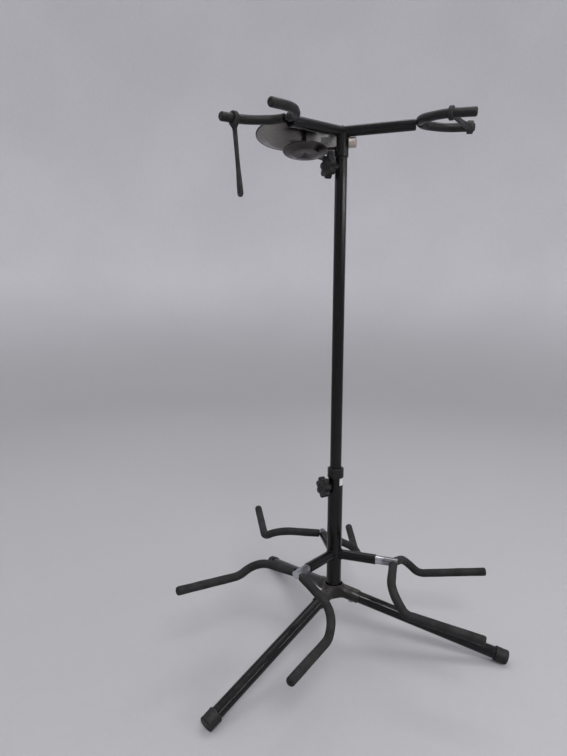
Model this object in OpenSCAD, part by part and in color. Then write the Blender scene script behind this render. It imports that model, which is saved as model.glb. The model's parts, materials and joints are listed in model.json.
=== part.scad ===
// Free-standing stand for three guitars: three legs on a cast hub, a telescoping mast,
// three padded neck yokes on a swivelling head and three padded forks for the bodies.
// Millimetres, +Z up. The origin is on the floor, on the mast's axis.
// Directions are in degrees, anticlockwise from +X seen from above. The front is -Y.

/* [Legs] */
// Distance from the mast's axis to where the feet touch the floor
foot_reach = 331; // [280:1:400]
// Height at which the legs' axes meet the mast's axis
leg_meet_z = 116; // [100:1:140]
// Outer diameter of a leg tube
leg_d = 22.5; // [20:0.5:26]
// Wall of a leg tube
leg_wall = 1.5; // [1:0.1:2.5]
// Direction of the front leg
front_leg_dir = 273.5; // [260:0.5:285]
// Direction of the right leg
right_leg_dir = 33; // [20:0.5:45]
// Direction of the left leg
left_leg_dir = 158.5; // [145:0.5:170]
// Wall of a rubber foot round its leg
foot_wall = 2.5; // [1.5:0.1:4]
// Thickness of a rubber foot under the leg's end
foot_floor = 3; // [2:0.5:6]
// Length of a rubber foot along its leg
foot_len = 24; // [16:1:40]
// Depth of the flat on which a foot rests
foot_flat = 1; // [0.6:0.1:2]

/* [Hub] */
// Outer diameter of the hub's barrel
hub_d = 34; // [33:0.5:40]
// Underside of the barrel between the sockets
hub_base_z = 102; // [98:1:105]
// Top of the barrel
hub_top_z = 124; // [120:1:130]
// Thickness of the barrel's floor under the mast
hub_floor = 4; // [3:0.5:6]
// Wall of a leg socket
socket_wall = 1.6; // [1.2:0.1:3]
// Reach of a leg socket from the mast's axis, along the leg
socket_len = 53; // [45:1:70]
// Diameter of the screws that hold the legs
leg_screw_d = 4.8; // [4:0.1:6]
// Diameter of the bolt that holds the mast
hub_bolt_d = 8; // [6:0.5:10]

/* [Lower tube] */
// Outer diameter of the lower mast tube
lower_d = 29; // [28:0.5:31]
// Wall of the lower mast tube
lower_wall = 1.8; // [1.2:0.1:2.2]
// Top of the lower mast tube
lower_top_z = 358; // [320:1:420]
// How far the bush stands over the end of the lower tube
bush_lip = 7; // [4:0.5:10]
// How far the bush's skirt reaches down outside the tube
bush_skirt = 11; // [8:0.5:16]
// How far the bush reaches down inside the tube
bush_depth = 12; // [8:0.5:15]
// Wall of the bush's skirt
bush_wall = 1.1; // [0.8:0.1:2]

/* [Mast] */
// Outer diameter of the upper mast tube
upper_d = 22; // [20:0.5:23]
// Wall of the upper mast tube
upper_wall = 1.4; // [1:0.1:1.5]
// Bottom of the upper mast tube
upper_bottom_z = 262; // [230:1:290]
// Top of the upper mast tube
upper_top_z = 936; // [800:1:1000]
// Outer diameter of the head's post
post_d = 16; // [14:0.5:17]
// Wall of the head's post
post_wall = 1.5; // [1:0.1:2.5]
// How far the post reaches down into the upper tube
post_depth = 90; // [70:1:150]
// Clearance all round between a moving tube and its bore
slide_fit = 0.1; // [0.02:0.01:0.1]

/* [Clamp knobs] */
// Diameter over the lobes of a knob
knob_d = 41; // [34:0.5:48]
// Number of lobes on a knob
knob_lobes = 7; // [5:1:9]
// Thickness of a knob
knob_t = 14; // [10:0.5:18]
// Distance from the mast's axis to the knob's inner face
knob_seat = 19; // [18.5:0.5:24]
// Direction in which the knobs point
knob_dir = 252; // [240:1:262]
// Distance of the lower knob under the top of the lower tube
lower_knob_drop = 29; // [26:0.5:45]
// Distance of the upper knob under the top of the upper tube
upper_knob_drop = 16; // [14:0.5:40]
// Diameter of the knobs' screws
screw_d = 8; // [6:0.5:9]
// Outer diameter of the bosses that hold the screws
boss_d = 14; // [12:0.5:17]

/* [Head] */
// Height of the arms' axes over the top of the upper tube
arm_rise = 45; // [40:1:60]
// Outer diameter of an arm
arm_d = 19; // [18:0.5:22]
// Wall of an arm
arm_wall = 1.5; // [1:0.1:2.5]
// Length of an arm from the mast's axis
arm_len = 127.5; // [100:1:160]
// Slope of the front arm
front_arm_slope = -2; // [-3:0.1:3]
// Slope of the right arm
right_arm_slope = 1.5; // [-3:0.1:3]
// Slope of the left arm
left_arm_slope = 0.9; // [-3:0.1:3]
// Outer diameter of the collar under the arms
collar_d = 25.6; // [22:0.1:27]

/* [Neck yokes] */
// Distance from an arm's end to the centre of its yoke's rod
yoke_offset = 8; // [8:0.5:12]
// Diameter of a yoke's rod
yoke_rod_d = 8; // [6:0.5:9]
// Half of the width of a yoke's straight back
yoke_back_half = 22; // [20:0.5:26]
// Half of the width at the yoke's outer bends
yoke_bend_half = 54.5; // [48:0.5:64]
// Reach of the outer bends beyond the rod's centre
yoke_bend_out = 39.5; // [30:0.5:44]
// Half of the width at the yoke's tips
yoke_tip_half = 57.1; // [50:0.1:70]
// Reach of the tips beyond the rod's centre
yoke_tip_out = 86.5; // [84:0.5:110]
// Rise of the prongs over the arm's axis
yoke_rise = 3.5; // [2:0.5:5]
// Radius of the bends beside the yoke's back
yoke_back_r = 36; // [16:1:38]
// Radius of the yoke's outer bends
yoke_side_r = 60; // [16:1:80]
// Outer diameter of the sleeves on the yokes
yoke_sleeve_d = 15; // [13:0.5:16]
// How far a sleeve stands past the end of its rod
sleeve_over = 4; // [2:0.5:8]
// Turn of the front yoke about its arm
front_yoke_turn = -1; // [-25:1:25]
// Turn of the right yoke about its arm
right_yoke_turn = 2; // [-25:1:25]
// Turn of the left yoke about its arm
left_yoke_turn = 22; // [-25:1:25]
// Dip of the front yoke's prongs under its arm
front_yoke_dip = 1; // [0:0.5:5]
// Dip of the right yoke's prongs under its arm
right_yoke_dip = 3; // [0:0.5:5]
// Dip of the left yoke's prongs under its arm
left_yoke_dip = 0; // [0:0.5:5]

/* [Straps] */
// Outer diameter of a strap's ring
ring_d = 22.5; // [20:0.5:26]
// Width of a strap's ring along the prong
ring_w = 8; // [5:0.5:10]
// Thickness of a strap
strap_t = 4; // [3:0.5:5]
// Width of a strap's neck
strap_neck_w = 9; // [8:0.5:12]
// Width of a strap's tongue
strap_tongue_w = 12; // [11:0.5:16]
// Length of a strap from its ring's centre to its tip
strap_len = 122; // [100:1:140]
// Length of the neck from the ring's centre
strap_neck_len = 64; // [40:1:70]
// Diameter of the hole in the tongue
strap_hole_d = 7; // [5:0.5:9]
// Reach of the hanging strap's ring beyond the rod's centre
hanging_ring_out = 64; // [60:0.5:80]
// Reach of a closed strap's ring beyond the rod's centre
closed_ring_out = 51; // [48:0.5:62]
// Reach of a closed strap's loop beyond the rod's centre
closed_loop_out = 82; // [70:0.5:84]
// Width of a closed strap's loop along the prong
loop_w = 11; // [8:0.5:13]
// Lean of the hanging strap towards the other prong
strap_lean = 5; // [0:1:15]

/* [Body forks] */
// Height of the stubs' axes over the floor
stub_z = 188; // [170:1:220]
// Outer diameter of a stub
stub_d = 19; // [18.5:0.5:22]
// Reach of a stub from the mast's axis
stub_reach = 83; // [75:1:100]
// Direction of the front stub
front_stub_dir = 274.5; // [265:0.5:285]
// Direction of the right stub
right_stub_dir = 27; // [20:0.5:40]
// Direction of the left stub
left_stub_dir = 145.5; // [140:0.5:160]
// Outer diameter of a slip tube
slip_d = 16; // [14:0.5:16]
// Wall of a slip tube
slip_wall = 1.4; // [1:0.1:2]
// Distance by which the front fork is drawn out
front_fork_drawn = 18; // [0:0.5:28]
// Distance by which the right fork is drawn out
right_fork_drawn = 25; // [0:0.5:28]
// Diameter of a fork's rod
fork_rod_d = 9; // [7:0.5:10]
// Half of the width at a fork's shoulders
shoulder_half = 93; // [80:1:115]
// Reach of the shoulders beyond the rod's centre
shoulder_out = 9; // [5:1:30]
// Drop of the shoulders
shoulder_drop = 20; // [15:1:35]
// Half of the width at a fork's lowest bends
dip_half = 110.5; // [100:0.5:125]
// Reach of the lowest bends beyond the rod's centre
dip_out = 39; // [32:1:60]
// Drop of the lowest bends
dip_drop = 51.5; // [45:0.5:70]
// Half of the width at a fork's tips
fork_tip_half = 121; // [105:1:145]
// Reach of the tips beyond the rod's centre
fork_tip_out = 167.5; // [140:0.5:200]
// Drop of the tips
fork_tip_drop = 40.5; // [20:0.5:50]
// Radius of the bends at a fork's shoulders
shoulder_r = 60; // [20:1:62]
// Radius of a fork's lowest bends
dip_r = 24; // [14:1:25]
// How much wider the tips of the front fork stand on each side
front_fork_spread = 14; // [0:1:20]
// How much closer in the tip of the left fork's near prong stands
left_prong_tuck = 9; // [0:1:15]
// How much lower the tip of the right fork's near prong hangs
bent_prong_sag = 25; // [0:1:30]
// How much higher the tips of the right and left forks' far prongs stand
far_prong_lift = 10; // [0:1:15]
// Outer diameter of the sleeves on the forks
fork_sleeve_d = 16; // [14:0.5:18]
// Turn of the front fork about its stub
front_fork_turn = -10; // [-20:1:20]
// Turn of the right fork about its stub
right_fork_turn = -8.5; // [-20:0.5:20]
// Turn of the left fork about its stub
left_fork_turn = 18; // [-20:1:20]

/* [Blank label] */
// Height of the blank label
label_h = 14; // [8:1:16]
// Angle that the blank label covers
label_angle = 44; // [20:1:80]
// Direction of the label's middle
label_dir = 6; // [-10:1:20]

/* [Accessory trays] */
// Direction in which the trays stand off the mast
tray_dir = 210; // [205:1:215]
// Height of the tray clip
clip_h = 17; // [14:0.5:18]
// Thickness of the clip's strip
clip_t = 1.6; // [1:0.1:2.5]
// Length of the clip's ears from the mast's axis
clip_reach = 34; // [28:0.5:36]
// Diameter of the thumb screw's head
thumb_d = 18; // [14:0.5:18]
// Tilt of the trays across their bracket
tray_tilt = 11; // [0:0.5:16]
// Tilt of the trays along their bracket
tray_pitch = 3; // [0:0.5:6]
// Diameter of the large tray
large_tray_d = 134; // [100:1:134]
// Depth of the large tray
large_tray_depth = 11; // [8:0.5:14]
// Distance of the large tray's centre from the mast's axis
large_tray_out = 88.5; // [88:0.5:100]
// Diameter of the small tray
small_tray_d = 80; // [70:1:80]
// Depth of the small tray
small_tray_depth = 8; // [6:0.5:10]
// Distance of the small tray's centre from the mast's axis, along the bracket
small_tray_out = 62; // [60:0.5:66]
// Thickness of the trays' sheet
tray_t = 1.2; // [0.8:0.1:2]

/* [Hidden] */
$fn = 48;

// Small gap between pieces that are bolted, pressed or glued together
seat_gap = 0.05;
// Gap between the end faces of pieces that turn or slide against each other
end_gap = 0.3;
// Extra length of a cutting body past the faces that it cuts
cut = 1;
// How far a straight run of a rod reaches into the bend beside it
bend_lap = 0.3;
// How much thicker a rod is in its bends, so that the runs end inside them
bend_swell = 0.1;

foot_d = leg_d + 2 * foot_wall;
foot_h = leg_meet_z + foot_flat;
leg_tilt = acos(foot_d / 2 / norm([foot_reach, foot_h])) - atan2(foot_reach, foot_h);
leg_run = foot_reach * cos(leg_tilt) + foot_h * sin(leg_tilt);
socket_d = leg_d + 2 * (seat_gap + socket_wall);
seat_wall = 2;
leg_start = (lower_d / 2 + seat_wall + leg_d / 2 * sin(leg_tilt)) / cos(leg_tilt);
leg_end = leg_run - foot_floor - seat_gap;
leg_screw_inset = 12;
leg_screw_at = socket_len - leg_screw_inset;
leg_screw_len = 9;
leg_screw_head_d = 2 * leg_screw_d;
leg_screw_head_h = 2.6;

tube_seat_z = hub_base_z + hub_floor;
lower_bore = lower_d - 2 * lower_wall;
label_gap = 1;
label_t = 0.2;
plug_h = 18;
hub_bolt_head_h = 5.5;
hub_bolt_head_d = 1.75 * hub_bolt_d;
hub_bolt_thread = 14;
hub_bolt_len = hub_floor + hub_bolt_thread;
head_room = 2;
upper_bore = upper_d - 2 * upper_wall;
post_hole_d = post_d + 2 * slide_fit;
bush_chamfer = 2;
upper_bush_lip = 1.5;
upper_bush_depth = 9;
collar_z = upper_top_z + upper_bush_lip + 2 * end_gap;
arm_z = upper_top_z + arm_rise;
post_end_gap = 1;
post_top_z = arm_z - arm_d / 2 - post_end_gap;

lower_knob_z = lower_top_z - lower_knob_drop;
upper_knob_z = upper_top_z - upper_knob_drop;
knob_gap = 1;
boss_end = knob_seat - knob_gap;
knob_base_t = 2;
knob_base_rim = 2;
screw_hole_d = screw_d + 2 * slide_fit;
knob_lobe_d = 1.2 * PI * knob_d / knob_lobes / 2;
knob_core_d = knob_d - knob_lobe_d;
knob_socket = 8;

front_arm_dir = 270;
right_arm_dir = 30;
left_arm_dir = 150;
arm_bore = arm_d - 2 * arm_wall;
spigot_d = arm_bore - 2 * slide_fit;
spigot_len = 30;
yoke_r = arm_len + yoke_offset;
plug_proud = 0.8;
yoke_neck_d = 8;
yoke_sleeve_gap = 0.6;
yoke_sleeve_start = yoke_neck_d / 2 + yoke_sleeve_gap;
yoke_bends = [0, yoke_back_r, yoke_side_r, 0];

stub_bore = slip_d + 2 * slide_fit;
fork_gap = 1;
fork_seat = slip_d / 2 + fork_gap;
fork_in = stub_reach + fork_seat;
slip_bore = slip_d - 2 * slip_wall;
slip_tail_gap = 1;
slip_start = lower_d / 2 + slip_tail_gap;
slip_len = fork_in - slip_d / 2 - slip_start;
fork_spigot_d = slip_bore - 2 * slide_fit;
fork_spigot_len = 25;
fork_sleeve_gap = 0.8;
fork_sleeve_start = slip_d / 2 + fork_sleeve_gap;
fork_bends = [0, shoulder_r, dip_r, 0];
wide_tip = [front_fork_spread, 0];
tucked_tip = [-left_prong_tuck, 0];
low_tip = [0, -bent_prong_sag];
high_tip = [0, far_prong_lift];

clip_bore = collar_d + 2 * seat_gap;
clip_d = clip_bore + 2 * clip_t;
clip_drop = 1;
clip_top_z = arm_z - arm_d / 2 - clip_drop;
clip_z = clip_top_z - clip_h / 2;
clip_gap_from = 80;
clip_gap_to = 155;
thumb_screw_d = 5;
thumb_head_gap = 0.5;
thumb_head_t = 11;
strip_rise = 2;
tray_axis_z = clip_z + strip_rise;
strip_w = 16;
strip_t = 2;
rim_r = 1.2;
large_tray_lift = 22.5;
large_tray_side = 3.5;
small_tray_sink = 14.5;
small_tray_side = 16.5;
post_rod_d = 6;
post_head_d = 9;
post_head_t = 1.2;
tray_post_out = 68;
tray_post_side = 2;

steel_black = [0.07, 0.07, 0.08];
rubber_black = [0.12, 0.11, 0.12];
chrome = [0.82, 0.83, 0.85];

// Unit vector along v
function unit(v) = v / norm(v);

// Unit vector along run i of a path
function run_dir(path, i) = unit(path[i + 1] - path[i]);

// Angle by which a path turns at its inner point i
function turn_at(path, i) = acos(run_dir(path, i - 1) * run_dir(path, i));

// Length that the bend at point i takes from each run beside it, less the lap
function bend_cut(path, r, i) =
    i == 0 || i == len(path) - 1 ? 0 : r[i] * tan(turn_at(path, i) / 2) - bend_lap;

// The same path with its ends moved, start onwards and over past the last point
function shifted(path, start, over) = [
    path[0] + run_dir(path, 0) * start,
    path[1],
    path[2],
    path[3] + run_dir(path, 2) * over];

// Half of a yoke's rod, from its centre to a tip; side is 1 or -1
function yoke_path(side) = [
    [0, 0, 0],
    [0, side * yoke_back_half, 0],
    [yoke_bend_out, side * yoke_bend_half, 0],
    [yoke_tip_out, side * yoke_tip_half, 0]];

// Half of a fork's rod, from its centre to a tip; side is 1 or -1, and tip holds how much
// wider and how much higher than usual this tip stands
function fork_path(side, tip) = [
    [0, 0, 0],
    [shoulder_out, side * shoulder_half, -shoulder_drop],
    [dip_out, side * dip_half, -dip_drop],
    [fork_tip_out, side * (fork_tip_half + tip[0]), tip[1] - fork_tip_drop]];

// Round bar from a to b
module bar(a, b, d) {
    v = b - a;
    translate(a)
        rotate([0, acos(v.z / norm(v)), atan2(v.y, v.x)])
            cylinder(h = norm(v), d = d);
}

// Round bend of radius r at corner p, between runs along u and w
module bend(p, u, w, r, d) {
    turn = acos(u * w);
    inward = unit(w - u * (u * w));
    axis = cross(u, inward);
    centre = p - u * r * tan(turn / 2) + inward * r;
    multmatrix([
        [-inward.x, u.x, axis.x, centre.x],
        [-inward.y, u.y, axis.y, centre.y],
        [-inward.z, u.z, axis.z, centre.z],
        [0, 0, 0, 1]])
        rotate_extrude(angle = turn)
            translate([r, 0])
                circle(d = d + bend_swell);
}

// Round rod along a path, with corner i bent to radius r[i]
module bent_rod(path, r, d) {
    last = len(path) - 1;
    for (i = [0 : last - 1])
        bar(path[i] + run_dir(path, i) * bend_cut(path, r, i),
            path[i + 1] - run_dir(path, i) * bend_cut(path, r, i + 1), d);
    for (i = [1 : last - 1])
        bend(path[i], run_dir(path, i - 1), run_dir(path, i), r[i], d);
}

// Hollow sleeve round a bent rod
module sleeve(path, r, start, rod_d, d) {
    difference() {
        bent_rod(shifted(path, start, sleeve_over), r, d);
        bent_rod(shifted(path, start - cut, sleeve_over + cut), r, rod_d + 2 * seat_gap);
    }
}

// Places its children on a leg's axis, with +Z running down and out along the leg
module on_leg(dir) {
    translate([0, 0, leg_meet_z])
        rotate([0, 90 + leg_tilt, dir])
            children();
}

// Places its children with +X pointing out in direction dir at height z
module facing(dir, z) {
    translate([0, 0, z])
        rotate([0, 0, dir])
            children();
}

// Tube along +X from a to b
module x_tube(a, b, d, bore) {
    translate([a, 0, 0])
        rotate([0, 90, 0])
            difference() {
                cylinder(h = b - a, d = d);
                translate([0, 0, -cut])
                    cylinder(h = b - a + 2 * cut, d = bore);
            }
}

// Solid bar along +X from a to b
module x_bar(a, b, d) {
    translate([a, 0, 0])
        rotate([0, 90, 0])
            cylinder(h = b - a, d = d);
}

// Tube along +Z from a to b
module z_tube(a, b, d, bore) {
    translate([0, 0, a])
        difference() {
            cylinder(h = b - a, d = d);
            translate([0, 0, -cut])
                cylinder(h = b - a + 2 * cut, d = bore);
        }
}

// Holes for the screw that holds a leg, from below
module leg_screw_hole() {
    translate([0, 0, leg_screw_at])
        rotate([0, 90, 0])
            cylinder(h = socket_d, d = leg_screw_d + 2 * seat_gap);
}

module hub() {
    color(steel_black)
        difference() {
            union() {
                translate([0, 0, hub_base_z])
                    cylinder(h = hub_top_z - hub_base_z, d = hub_d);
                for (dir = [front_leg_dir, right_leg_dir, left_leg_dir])
                    on_leg(dir)
                        cylinder(h = socket_len, d = socket_d);
            }
            translate([0, 0, tube_seat_z])
                cylinder(h = hub_top_z, d = lower_d + 2 * seat_gap);
            translate([0, 0, hub_base_z - socket_d])
                cylinder(h = socket_d + hub_floor + cut, d = hub_bolt_d + 2 * seat_gap);
            translate([0, 0, hub_base_z - socket_d])
                cylinder(h = socket_d, d = hub_bolt_head_d + 2 * head_room);
            for (dir = [front_leg_dir, right_leg_dir, left_leg_dir])
                on_leg(dir) {
                    translate([0, 0, leg_start])
                        cylinder(h = socket_len, d = leg_d + 2 * seat_gap);
                    leg_screw_hole();
                }
        }
}

module leg(dir) {
    color(steel_black)
        on_leg(dir)
            difference() {
                translate([0, 0, leg_start + seat_gap])
                    cylinder(h = leg_end - leg_start - seat_gap, d = leg_d);
                translate([0, 0, leg_start - cut])
                    cylinder(h = leg_end - leg_start + 2 * cut, d = leg_d - 2 * leg_wall);
                leg_screw_hole();
            }
}

module foot(dir) {
    color(rubber_black)
        difference() {
            on_leg(dir)
                difference() {
                    translate([0, 0, leg_run - foot_len])
                        cylinder(h = foot_len, d = foot_d);
                    translate([0, 0, leg_run - foot_len - cut])
                        cylinder(h = foot_len - foot_floor + cut, d = leg_d + 2 * seat_gap);
                }
            rotate([0, 0, dir])
                translate([foot_reach - foot_len, -foot_d, -foot_d])
                    cube([2 * foot_len, 2 * foot_d, foot_d]);
        }
}

module leg_screws() {
    color(chrome)
        for (dir = [front_leg_dir, right_leg_dir, left_leg_dir])
            on_leg(dir)
                translate([socket_d / 2, 0, leg_screw_at])
                    rotate([0, 90, 0]) {
                        translate([0, 0, seat_gap])
                            cylinder(h = leg_screw_head_h, d = leg_screw_head_d);
                        translate([0, 0, seat_gap - leg_screw_len])
                            cylinder(h = leg_screw_len, d = leg_screw_d);
                    }
}

module hub_bolt() {
    color(chrome)
        translate([0, 0, hub_base_z - seat_gap]) {
            translate([0, 0, -hub_bolt_head_h])
                cylinder(h = hub_bolt_head_h, d = hub_bolt_head_d, $fn = 6);
            cylinder(h = hub_bolt_len, d = hub_bolt_d);
        }
}

module tube_plug() {
    color(chrome)
        translate([0, 0, tube_seat_z + seat_gap])
            difference() {
                cylinder(h = plug_h, d = lower_bore - 2 * seat_gap);
                translate([0, 0, -cut])
                    cylinder(h = plug_h + 2 * cut, d = hub_bolt_d + 2 * seat_gap);
            }
}

module lower_tube() {
    color(steel_black)
        difference() {
            z_tube(tube_seat_z + seat_gap, lower_top_z, lower_d, lower_bore);
            facing(knob_dir, lower_knob_z)
                x_bar(0, lower_d, screw_hole_d);
        }
}

module stub(dir) {
    color(steel_black)
        difference() {
            facing(dir, stub_z)
                x_tube(0, stub_reach, stub_d, stub_bore);
            translate([0, 0, stub_z - stub_d])
                cylinder(h = 2 * stub_d, d = lower_d + 2 * seat_gap);
        }
}

// Threaded boss for a knob's screw, saddled onto a tube
module boss(z, tube_d) {
    color(steel_black)
        difference() {
            facing(knob_dir, z)
                x_tube(0, boss_end, boss_d, screw_hole_d);
            translate([0, 0, z - boss_d])
                cylinder(h = 2 * boss_d, d = tube_d + 2 * seat_gap);
        }
}

module lower_boss() {
    boss(lower_knob_z, lower_d);
}

module lower_bush() {
    color(rubber_black)
        rotate_extrude()
            difference() {
                translate([upper_d / 2 + slide_fit, lower_top_z - bush_depth])
                    square([(lower_d - upper_d) / 2 + bush_wall - slide_fit,
                        bush_depth + bush_lip]);
                translate([lower_bore / 2 - seat_gap, lower_top_z - bush_depth - cut])
                    square([lower_wall + 2 * seat_gap, bush_depth + cut + seat_gap]);
                translate([lower_d / 2, lower_top_z - bush_depth - cut])
                    square([2 * bush_wall, bush_depth - bush_skirt + cut]);
                translate([lower_d / 2 + bush_wall, lower_top_z + bush_lip])
                    rotate(45)
                        square(bush_chamfer, center = true);
            }
}

module blank_label() {
    color([0.8, 0.8, 0.78])
        translate([0, 0, lower_top_z - bush_skirt - label_gap - label_h])
            rotate([0, 0, label_dir - label_angle / 2])
                rotate_extrude(angle = label_angle)
                    translate([lower_d / 2 + seat_gap, 0])
                        square([label_t, label_h]);
}

// Lobed knob with a blind hole that holds its screw
module knob(z) {
    color(rubber_black)
        facing(knob_dir, z)
            translate([knob_seat, 0, 0])
                rotate([0, 90, 0])
                    difference() {
                        union() {
                            translate([0, 0, knob_base_t])
                                linear_extrude(height = knob_t - knob_base_t) {
                                    circle(d = knob_core_d);
                                    for (i = [0 : knob_lobes - 1])
                                        rotate(i * 360 / knob_lobes)
                                            translate([knob_core_d / 2, 0])
                                                circle(d = knob_lobe_d);
                                }
                            cylinder(h = knob_base_t, d = boss_d + 2 * knob_base_rim);
                        }
                        translate([0, 0, -cut])
                            cylinder(h = knob_socket + cut, d = screw_d + 2 * seat_gap);
                    }
}

// Knob's screw; its tip stops just short of the tube that it clamps
module knob_screw(z, clamped_d) {
    color(chrome)
        facing(knob_dir, z)
            x_bar(clamped_d / 2 + end_gap, knob_seat + knob_socket - seat_gap, screw_d);
}

module lower_knob() {
    knob(lower_knob_z);
}

module lower_knob_screw() {
    knob_screw(lower_knob_z, upper_d);
}

module upper_tube() {
    color(steel_black)
        difference() {
            z_tube(upper_bottom_z, upper_top_z, upper_d, upper_bore);
            facing(knob_dir, upper_knob_z)
                x_bar(0, upper_d, screw_hole_d);
        }
}

module upper_boss() {
    boss(upper_knob_z, upper_d);
}

module upper_bush() {
    color(rubber_black) {
        z_tube(upper_top_z + seat_gap, upper_top_z + upper_bush_lip, upper_d, post_hole_d);
        z_tube(upper_top_z - upper_bush_depth, upper_top_z + upper_bush_lip,
            upper_bore - 2 * seat_gap, post_hole_d);
    }
}

module upper_knob() {
    knob(upper_knob_z);
}

module upper_knob_screw() {
    knob_screw(upper_knob_z, post_d);
}

module head_post() {
    color(chrome)
        z_tube(upper_top_z - post_depth, post_top_z, post_d, post_d - 2 * post_wall);
}

module head_collar() {
    color(steel_black)
        difference() {
            z_tube(collar_z, arm_z - arm_d / 5, collar_d, post_hole_d);
            on_arm(front_arm_dir, front_arm_slope)
                x_bar(0, collar_d, arm_d + 2 * seat_gap);
            on_arm(right_arm_dir, right_arm_slope)
                x_bar(0, collar_d, arm_d + 2 * seat_gap);
            on_arm(left_arm_dir, left_arm_slope)
                x_bar(0, collar_d, arm_d + 2 * seat_gap);
            translate([0, 0, arm_z])
                sphere(d = arm_d + 2 * seat_gap);
        }
}

// Places its children on an arm, with +X out along it
module on_arm(dir, slope) {
    facing(dir, arm_z)
        rotate([0, -slope, 0])
            children();
}

// Arm, mitred where the three meet over the mast
module arm(dir, slope) {
    color(steel_black)
        intersection() {
            on_arm(dir, slope)
                x_tube(-arm_d, arm_len, arm_d, arm_bore);
            facing(dir, arm_z)
                linear_extrude(height = 2 * arm_d, center = true)
                    polygon([
                        [seat_gap, 0],
                        [seat_gap + arm_d * cos(60), arm_d * sin(60)],
                        [2 * arm_len, arm_d],
                        [2 * arm_len, -arm_d],
                        [seat_gap + arm_d * cos(60), -arm_d * sin(60)]]);
        }
}

// Places its children on the centre of a yoke's plug: +X out along the arm
module at_yoke(dir, slope, turn) {
    on_arm(dir, slope)
        rotate([turn, 0, 0])
            translate([yoke_r, 0, 0])
                children();
}

// Places its children on the centre of a yoke's rod, in the plane of its prongs
module at_prongs(dir, slope, turn, dip) {
    at_yoke(dir, slope, turn)
        translate([0, 0, yoke_rise])
            rotate([0, dip, 0])
                children();
}

module yoke(dir, slope, turn, dip) {
    color(steel_black) {
        at_yoke(dir, slope, turn) {
            x_bar(-yoke_offset - spigot_len, plug_proud - yoke_offset, spigot_d);
            translate([0, 0, yoke_rise])
                x_bar(plug_proud / 2 - yoke_offset, 0, yoke_neck_d);
        }
        at_prongs(dir, slope, turn, dip)
            for (side = [-1, 1])
                bent_rod(yoke_path(side), yoke_bends, yoke_rod_d);
    }
}

module yoke_sleeve(dir, slope, turn, dip, side) {
    color(rubber_black)
        at_prongs(dir, slope, turn, dip)
            sleeve(yoke_path(side), yoke_bends, yoke_sleeve_start, yoke_rod_d, yoke_sleeve_d);
}

// Splay of a yoke's prongs and their half width at a given reach
prong_splay = atan2(yoke_tip_half - yoke_bend_half, yoke_tip_out - yoke_bend_out);
function prong_half(out) = yoke_bend_half + (out - yoke_bend_out) * tan(prong_splay);
strap_bore = yoke_sleeve_d + 2 * slide_fit;

// Reach at which the rod's side bend ends, how far the rod still has to turn at a given
// reach before that, and the half width there of the bent rod
side_bend_end = yoke_bend_out
    + yoke_side_r * tan(turn_at(yoke_path(1), 2) / 2) * cos(prong_splay);
function turn_left(out) =
    asin(max(0, side_bend_end - out) / cos(prong_splay) / yoke_side_r);
function bent_half(out) =
    prong_half(out) - yoke_side_r * (1 - cos(turn_left(out))) / cos(prong_splay);
// Bore of a ring that sits on the bend
bend_bore = strap_bore + 0.4;

// Ring of a strap round a prong, with +X along the prong
module ring() {
    x_tube(-ring_w / 2, ring_w / 2, ring_d, strap_bore);
}

// Open strap, hanging from its prong with a slight lean
module hanging_strap(dir, slope, turn, dip) {
    tip_r = strap_tongue_w / 2;
    neck_top = sqrt(pow(strap_bore / 2, 2) + pow(strap_neck_w / 2, 2));
    color(rubber_black)
        at_prongs(dir, slope, turn, dip)
            translate([hanging_ring_out, -prong_half(hanging_ring_out), 0])
                rotate([0, 0, -prong_splay])
                    rotate([strap_lean, 0, 0]) {
                        ring();
                        translate([-strap_t / 2, -strap_neck_w / 2, -strap_neck_len])
                            cube([strap_t, strap_neck_w, strap_neck_len - neck_top]);
                        difference() {
                            union() {
                                translate([-strap_t / 2, -tip_r, tip_r - strap_len])
                                    cube([strap_t, 2 * tip_r,
                                        strap_len - strap_neck_len - tip_r]);
                                translate([0, 0, tip_r - strap_len])
                                    x_bar(-strap_t / 2, strap_t / 2, 2 * tip_r);
                            }
                            translate([0, 0, tip_r - strap_len])
                                x_bar(-strap_t, strap_t, strap_hole_d);
                        }
                    }
}

// Closed strap: a ring on one prong, and the tongue pulled over the end of the other
module closed_strap(dir, slope, turn, dip) {
    a = [closed_ring_out, -bent_half(closed_ring_out), 0];
    ring_turn = prong_splay + turn_left(closed_ring_out);
    b = [closed_loop_out, prong_half(closed_loop_out), 0];
    v = b - a;
    color(rubber_black)
        at_prongs(dir, slope, turn, dip)
            difference() {
                union() {
                    translate(a)
                        rotate([0, 0, -ring_turn])
                            x_bar(-ring_w / 2, ring_w / 2, ring_d);
                    translate(b)
                        rotate([0, 0, prong_splay])
                            x_bar(-loop_w / 2, loop_w / 2, ring_d);
                    translate(a)
                        rotate([0, 0, atan2(v.y, v.x)])
                            translate([0, -strap_t / 2, -strap_neck_w / 2])
                                cube([norm(v), strap_t, strap_neck_w]);
                }
                translate(a)
                    rotate([0, 0, -ring_turn])
                        x_bar(-ring_w, ring_w, bend_bore);
                translate(b)
                    rotate([0, 0, prong_splay])
                        x_bar(-loop_w, loop_w, strap_bore);
            }
}

// Places its children on a fork: +X out along the stub, turned about the stub
module at_fork(dir, turn, drawn) {
    facing(dir, stub_z)
        rotate([turn, 0, 0])
            translate([fork_in + drawn, 0, 0])
                children();
}

module slip_tube(dir, drawn) {
    color(chrome)
        facing(dir, stub_z)
            translate([slip_start + drawn, 0, 0])
                x_tube(0, slip_len - end_gap, slip_d, slip_bore);
}

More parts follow.
